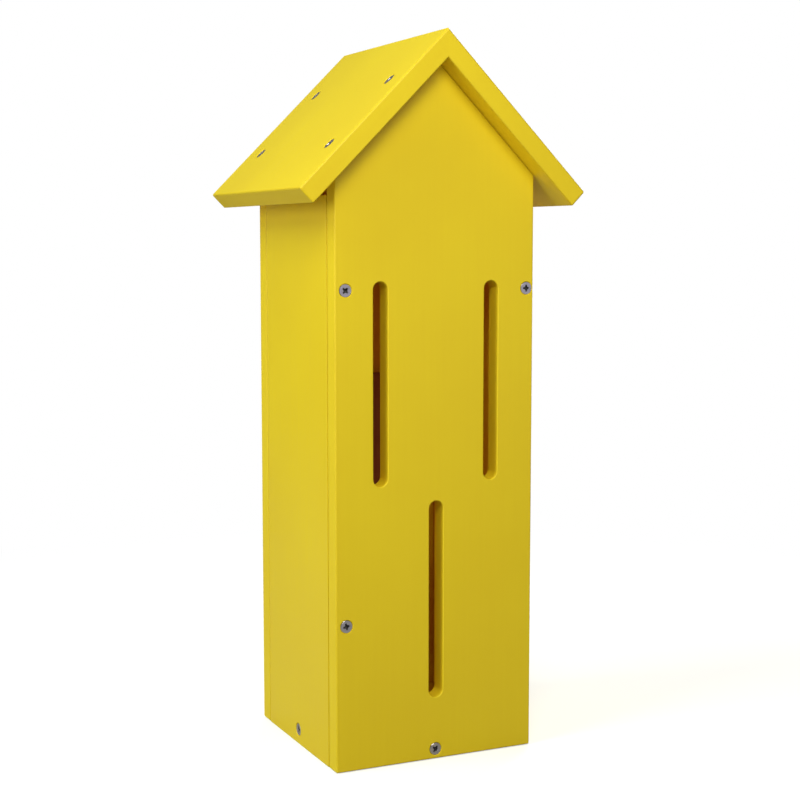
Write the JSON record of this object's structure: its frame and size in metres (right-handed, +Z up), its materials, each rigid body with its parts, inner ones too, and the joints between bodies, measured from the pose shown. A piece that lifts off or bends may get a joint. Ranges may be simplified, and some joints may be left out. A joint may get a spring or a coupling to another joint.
{
  "type": "butterfly house",
  "caption": "Tall yellow plastic-lumber butterfly house with a pitched roof, narrow entry slots in the front and a side door that swings up.",
  "frame": {"origin": "centre of the footprint, on the surface that the house stands on", "axes": "+Z up, -Y is the front with the slots, +X is the side with the hinged door"},
  "size_m": [0.1968, 0.165, 0.4656],
  "materials": {
    "plastic_lumber": "satin yellow high-density polyethylene board, coloured all through",
    "stainless": "plain stainless steel",
    "cedar": "rough-sawn, unfinished"
  },
  "bodies": {
    "house": {"front_panel": "plastic_lumber", "back_panel": "plastic_lumber", "left_wall": "plastic_lumber", "floor_panel": "plastic_lumber", "left_roof_board": "plastic_lumber", "right_roof_board": "plastic_lumber", "climbing_slat": "cedar", "front_upper_wall_screw": "stainless", "front_lower_wall_screw": "stainless", "back_upper_wall_screw": "stainless", "back_lower_wall_screw": "stainless", "front_floor_screw": "stainless", "back_floor_screw": "stainless", "left_floor_screw": "stainless", "lower_slat_screw": "stainless", "upper_slat_screw": "stainless", "left_roof_front_upper_screw": "stainless", "left_roof_front_lower_screw": "stainless", "left_roof_back_upper_screw": "stainless", "left_roof_back_lower_screw": "stainless", "right_roof_front_upper_screw": "stainless", "right_roof_front_lower_screw": "stainless", "right_roof_back_upper_screw": "stainless", "right_roof_back_lower_screw": "stainless"},
    "door": {"side_door": "plastic_lumber", "front_pivot_screw": "stainless", "back_pivot_screw": "stainless"},
    "retaining_screw": {"door_retaining_screw": "stainless"}
  },
  "joints": [
    {"name": "door_swing", "type": "hinge", "parent": "house", "child": "door", "pos_m": [0.06495, 0, 0.305], "axis": [0, -1, 0], "range_deg": [0, 145]},
    {"name": "retaining_screw_out", "type": "slide", "parent": "door", "child": "retaining_screw", "axis": [1, 0, 0], "range_m": [0, 0.02]}
  ]
}
